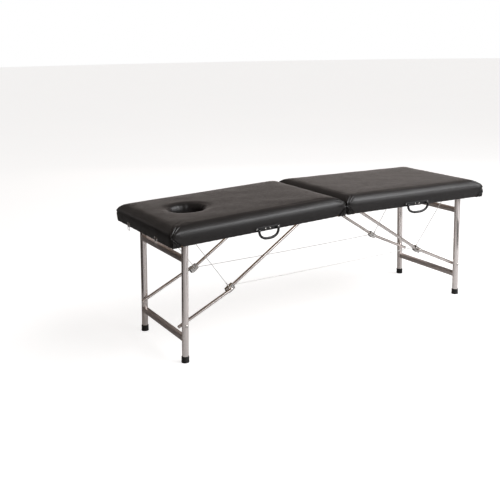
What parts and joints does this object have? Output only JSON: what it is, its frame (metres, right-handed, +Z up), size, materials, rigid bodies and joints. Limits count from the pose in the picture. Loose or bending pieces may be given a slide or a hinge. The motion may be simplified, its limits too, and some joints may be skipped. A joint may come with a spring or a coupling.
{
  "type": "portable massage table",
  "caption": "Portable folding massage table: padded two-part top with a face hole, folding steel legs, braces, cables and carry handles.",
  "frame": {"origin": "on the floor, under the middle of the whole outline", "axes": "+Z up; +X from the head end, which has the face hole, to the foot end; -Y is the side with the carry handles"},
  "size_m": [1.8093, 0.6232, 0.655],
  "materials": {
    "vinyl": "satin",
    "foam": "matte",
    "ply": "matte",
    "frame_wood": "satin",
    "crossbar_steel": "satin",
    "tube_steel": "polished",
    "fitting_steel": "satin",
    "wire": "satin",
    "foot_rubber": "matte",
    "handle_plastic": "satin"
  },
  "bodies": {
    "head_panel": {"rail_near_head": "frame_wood", "rail_far_head": "frame_wood", "rail_outer_head": "frame_wood", "rail_centre_head": "frame_wood", "deck_board_head": "ply", "foam_head": "foam", "cover_head": "vinyl", "leg_rod_head": "fitting_steel", "brace_rod_head": "fitting_steel", "hinge_leaf_head": "fitting_steel", "handle_base_head": "handle_plastic", "latch_base_near": "fitting_steel", "latch_base_far": "fitting_steel", "cable_near": "wire", "cable_far": "wire"},
    "centre_hinge_pin": {"hinge_pin": "fitting_steel"},
    "foot_panel": {"rail_near_foot": "frame_wood", "rail_far_foot": "frame_wood", "rail_outer_foot": "frame_wood", "rail_centre_foot": "frame_wood", "deck_board_foot": "ply", "foam_foot": "foam", "cover_foot": "vinyl", "leg_rod_foot": "fitting_steel", "brace_rod_foot": "fitting_steel", "hinge_leaf_foot": "fitting_steel", "handle_base_foot": "handle_plastic", "latch_catch_near": "fitting_steel", "latch_catch_far": "fitting_steel"},
    "leg_frame_head": {"leg_near_head": "tube_steel", "leg_far_head": "tube_steel", "crossbar_upper_head": "crossbar_steel", "crossbar_lower_head": "crossbar_steel", "foot_near_head": "foot_rubber", "foot_far_head": "foot_rubber"},
    "upper_brace_near_head": {"brace_upper_near_head": "tube_steel", "knuckle_bracket_near_head": "fitting_steel"},
    "lower_brace_near_head": {"brace_lower_near_head": "tube_steel"},
    "upper_brace_far_head": {"brace_upper_far_head": "tube_steel", "knuckle_bracket_far_head": "fitting_steel"},
    "lower_brace_far_head": {"brace_lower_far_head": "tube_steel"},
    "handle_grip_head": {"handle_grip_head": "handle_plastic"},
    "leg_frame_foot": {"leg_near_foot": "tube_steel", "leg_far_foot": "tube_steel", "crossbar_upper_foot": "crossbar_steel", "crossbar_lower_foot": "crossbar_steel", "foot_near_foot": "foot_rubber", "foot_far_foot": "foot_rubber"},
    "upper_brace_near_foot": {"brace_upper_near_foot": "tube_steel", "knuckle_bracket_near_foot": "fitting_steel"},
    "lower_brace_near_foot": {"brace_lower_near_foot": "tube_steel"},
    "upper_brace_far_foot": {"brace_upper_far_foot": "tube_steel", "knuckle_bracket_far_foot": "fitting_steel"},
    "lower_brace_far_foot": {"brace_lower_far_foot": "tube_steel"},
    "handle_grip_foot": {"handle_grip_foot": "handle_plastic"},
    "latch_hasp_near": {"latch_hasp_near": "fitting_steel"},
    "latch_hasp_far": {"latch_hasp_far": "fitting_steel"}
  },
  "joints": [
    {"name": "centre_fold", "type": "hinge", "parent": "head_panel", "child": "centre_hinge_pin", "pos_m": [0, 0.0076, 0.5691], "axis": [0, 1, 0], "range_deg": [0, 120], "deforming": ["cable_near", "cable_far"]},
    {"name": "final_close", "type": "hinge", "parent": "centre_hinge_pin", "child": "foot_panel", "pos_m": [0, 0.0076, 0.5691], "axis": [0, 1, 0], "range_deg": [0, 57.3]},
    {"name": "leg_fold_head", "type": "hinge", "parent": "head_panel", "child": "leg_frame_head", "pos_m": [-0.80028, 0.0076, 0.57175], "axis": [0, -1, 0], "range_deg": [0, 93.65]},
    {"name": "upper_fold_near_head", "type": "hinge", "parent": "head_panel", "child": "upper_brace_near_head", "pos_m": [-0.06604, -0.1744, 0.61256], "axis": [0, 1, 0], "range_deg": [0, 30.67]},
    {"name": "lower_fold_near_head", "type": "hinge", "parent": "leg_frame_head", "child": "lower_brace_near_head", "pos_m": [-0.81635, -0.1924, 0.17], "axis": [0, -1, 0], "range_deg": [0, 60.59]},
    {"name": "upper_fold_far_head", "type": "hinge", "parent": "head_panel", "child": "upper_brace_far_head", "pos_m": [-0.06604, 0.1896, 0.61256], "axis": [0, 1, 0], "range_deg": [0, 30.67]},
    {"name": "lower_fold_far_head", "type": "hinge", "parent": "leg_frame_head", "child": "lower_brace_far_head", "pos_m": [-0.81635, 0.2076, 0.17], "axis": [0, -1, 0], "range_deg": [0, 60.59]},
    {"name": "handle_swing_head", "type": "hinge", "parent": "head_panel", "child": "handle_grip_head", "pos_m": [-0.43611, -0.3069, 0.56883], "axis": [-0.9997, 0, -0.0236], "range_deg": [0, 110]},
    {"name": "leg_fold_foot", "type": "hinge", "parent": "foot_panel", "child": "leg_frame_foot", "pos_m": [0.80028, 0.0076, 0.57175], "axis": [0, 1, 0], "range_deg": [0, 93.65]},
    {"name": "upper_fold_near_foot", "type": "hinge", "parent": "foot_panel", "child": "upper_brace_near_foot", "pos_m": [0.06604, -0.1744, 0.61256], "axis": [0, -1, 0], "range_deg": [0, 30.67]},
    {"name": "lower_fold_near_foot", "type": "hinge", "parent": "leg_frame_foot", "child": "lower_brace_near_foot", "pos_m": [0.81635, -0.1924, 0.17], "axis": [0, 1, 0], "range_deg": [0, 60.59]},
    {"name": "upper_fold_far_foot", "type": "hinge", "parent": "foot_panel", "child": "upper_brace_far_foot", "pos_m": [0.06604, 0.1896, 0.61256], "axis": [0, -1, 0], "range_deg": [0, 30.67]},
    {"name": "lower_fold_far_foot", "type": "hinge", "parent": "leg_frame_foot", "child": "lower_brace_far_foot", "pos_m": [0.81635, 0.2076, 0.17], "axis": [0, 1, 0], "range_deg": [0, 60.59]},
    {"name": "handle_swing_foot", "type": "hinge", "parent": "foot_panel", "child": "handle_grip_foot", "pos_m": [0.43611, -0.3069, 0.56883], "axis": [-0.9997, 0, 0.0236], "range_deg": [0, 110]},
    {"name": "latch_swing_near", "type": "hinge", "parent": "head_panel", "child": "latch_hasp_near", "pos_m": [-0.90336, -0.1424, 0.56081], "axis": [0, 1, 0], "range_deg": [0, 90]},
    {"name": "latch_swing_far", "type": "hinge", "parent": "head_panel", "child": "latch_hasp_far", "pos_m": [-0.90336, 0.1576, 0.56081], "axis": [0, 1, 0], "range_deg": [0, 90]}
  ],
  "couplings": [
    {"joint": "leg_fold_head", "follows": "centre_fold", "ratio": 0.78033},
    {"joint": "upper_fold_near_head", "follows": "centre_fold", "ratio": 0.25548},
    {"joint": "lower_fold_near_head", "follows": "centre_fold", "ratio": 0.50483},
    {"joint": "upper_fold_far_head", "follows": "centre_fold", "ratio": 0.25548},
    {"joint": "lower_fold_far_head", "follows": "centre_fold", "ratio": 0.50483},
    {"joint": "leg_fold_foot", "follows": "centre_fold", "ratio": 0.78033},
    {"joint": "upper_fold_near_foot", "follows": "centre_fold", "ratio": 0.25548},
    {"joint": "lower_fold_near_foot", "follows": "centre_fold", "ratio": 0.50483},
    {"joint": "upper_fold_far_foot", "follows": "centre_fold", "ratio": 0.25548},
    {"joint": "lower_fold_far_foot", "follows": "centre_fold", "ratio": 0.50483}
  ]
}
